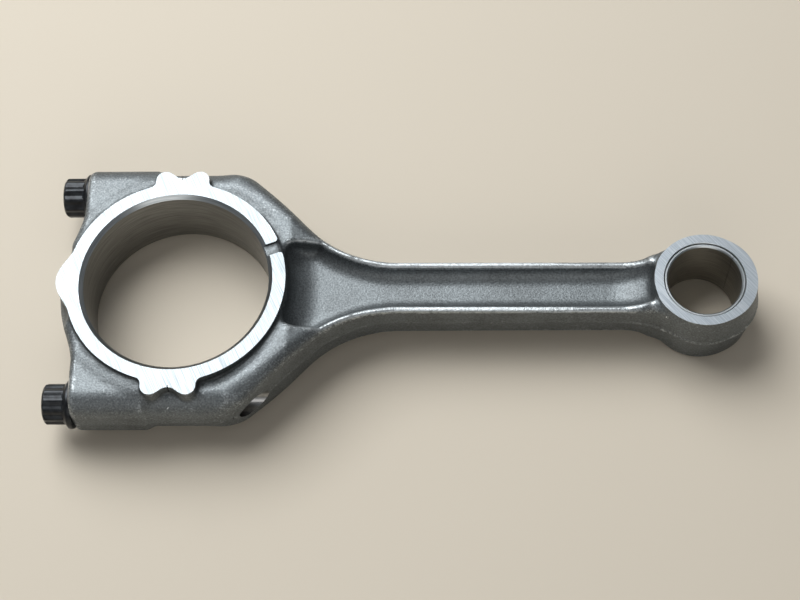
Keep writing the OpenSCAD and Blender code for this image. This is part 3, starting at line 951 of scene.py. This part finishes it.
# %% Give out the finishes
finishes = [
    forged_steel(),
    ground_steel("ground_thrust_steel", colour("#7d8488"), colour("#a4a9ac"), 0.42, -65),
    ground_steel("ground_eye_steel", colour("#9ca4ab"), colour("#b7bdc2"), 0.38, -50),
    bored_steel("fine_bored_steel", colour("#858583"), colour("#a2a29f"), 0.38),
    bored_steel("turned_chamfer_steel", colour("#a4aaad"), colour("#c2c7c9"), 0.3),
    bored_steel("drilled_steel", colour("#8a8b8b"), colour("#b8b9b9"), 0.3),
    broken_steel(),
    ground_steel("spot_faced_steel", colour("#b4b9bd"), colour("#dcdfe1"), 0.34, 20),
]
for obj in (rod, cap):
    obj.data.materials.clear()
    for finish in finishes:
        obj.data.materials.append(finish)
    sort_faces(obj)
    mark_bend(obj)
bush.data.materials.append(bored_steel("bush_lining_steel", colour("#8c8983"), colour("#aaa7a0"), 0.4))
bush.data.materials.append(finishes[FINISHES.index("chamfered")])
bush_ends = np.abs(face_values(bush)[1][:, 2]) > 0.3
bush.data.polygons.foreach_set("material_index", bush_ends.astype(int))
print(f"bush: {bush_ends.sum()} end faces are chamfer, {(~bush_ends).sum()} are lining")
oxide = black_oxide()
for bolt in bolts.values():
    bolt.data.materials.clear()
    bolt.data.materials.append(oxide)

# %% [markdown]
# ## Tying the pieces to the frame
# Each piece rides on a body of the CAD model, so it moves when that body does. It stands in for one
# CAD node, which is then hidden. The bush rides with the
# rod, because it is pressed in.

# %% Tie the pieces to the frame
for piece, body, node, slot in (
        (rod, "rod", "rod_forging", "forged_steel"),
        (cap, "cap", "bearing_cap", "forged_steel"),
        (bolts["upper"], "upper_bolt", "upper_cap_bolt", "black_bolt_steel"),
        (bolts["lower"], "lower_bolt", "lower_cap_bolt", "black_bolt_steel"),
        (bush, "rod", "small_end_bush", "bush_lining")):
    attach(piece, body)
    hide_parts(node)
    print(f"{piece.name} rides on {body} and replaces {node}")

# %% [markdown]
# ## Camera
# The camera stands half a metre up and looks down, 25 degrees off the upright, through a long lens.
# A long lens keeps the two eyes' ellipses nearly alike, as in a product picture.

# %% Camera
camera_data = bpy.data.cameras.new("camera")
camera_data.sensor_width = 36
camera_data.lens = 80.6
camera_data.clip_start = 0.01
camera = bpy.data.objects.new("camera", camera_data)
camera.location = (0.0805, -0.2147, 0.4479)
camera.rotation_euler = [math.radians(a) for a in (25.53, 2.12, 0.78)]
bpy.context.collection.objects.link(camera)
bpy.context.scene.camera = camera
bpy.context.scene.view_settings.view_transform = "Standard"
print(f"the lens takes in {math.degrees(camera_data.angle):.1f} degrees")

# %% [markdown]
# ## Floor and light
# Bare steel shows what it reflects more than its own colour, so the lamps are large and soft. One
# window, high on the far left, lights the tops of the ground faces. A wider one behind it fills the
# forging, and a weak warm one from the front keeps the near side walls from going black.
# The floor is a plain pale sheet just under the lower thrust face.

# %% Floor and light
def soft_box(name, place, target, width, depth, power, tint):
    data = bpy.data.lights.new(name, "AREA")
    data.shape = "RECTANGLE"
    data.size = width
    data.size_y = depth
    data.energy = power
    data.color = tint
    lamp = bpy.data.objects.new(name, data)
    lamp.location = place
    lamp.rotation_euler = (Vector(target) - Vector(place)).to_track_quat("-Z", "Y").to_euler()
    bpy.context.collection.objects.link(lamp)


soft_box("window", (-0.27, 0.4, 0.72), (0.03, 0, 0), 0.7, 0.7, 8.5, (0.97, 0.99, 1.0))
soft_box("sky", (-0.5, 0.7, 0.9), (0.06, 0, 0), 1.2, 1.2, 4.0, (0.95, 0.98, 1.0))
soft_box("room", (0.1, -0.9, 0.6), (0.06, 0, 0), 0.8, 0.5, 1.6, (1.0, 0.97, 0.93))

floor_z = -thrust_z - 0.05
floor = make_object("floor", [(-1600, -1600, floor_z), (1600, -1600, floor_z), (1600, 1600, floor_z),
                              (-1600, 1600, floor_z)], [[0, 1, 2, 3]])
floor_material, _, floor_surface, _ = start_material("pale_matt_floor")
floor_surface.inputs["Base Color"].default_value = colour("#cdc3b3")
floor_surface.inputs["Roughness"].default_value = 0.8
floor.data.materials.append(floor_material)

world = bpy.data.worlds.new("room")
world.use_nodes = True
world.node_tree.nodes["Background"].inputs[0].default_value = colour("#e9ecef")
world.node_tree.nodes["Background"].inputs[1].default_value = 0.22
bpy.context.scene.world = world
print(f"floor at z {floor_z:.2f} mm")
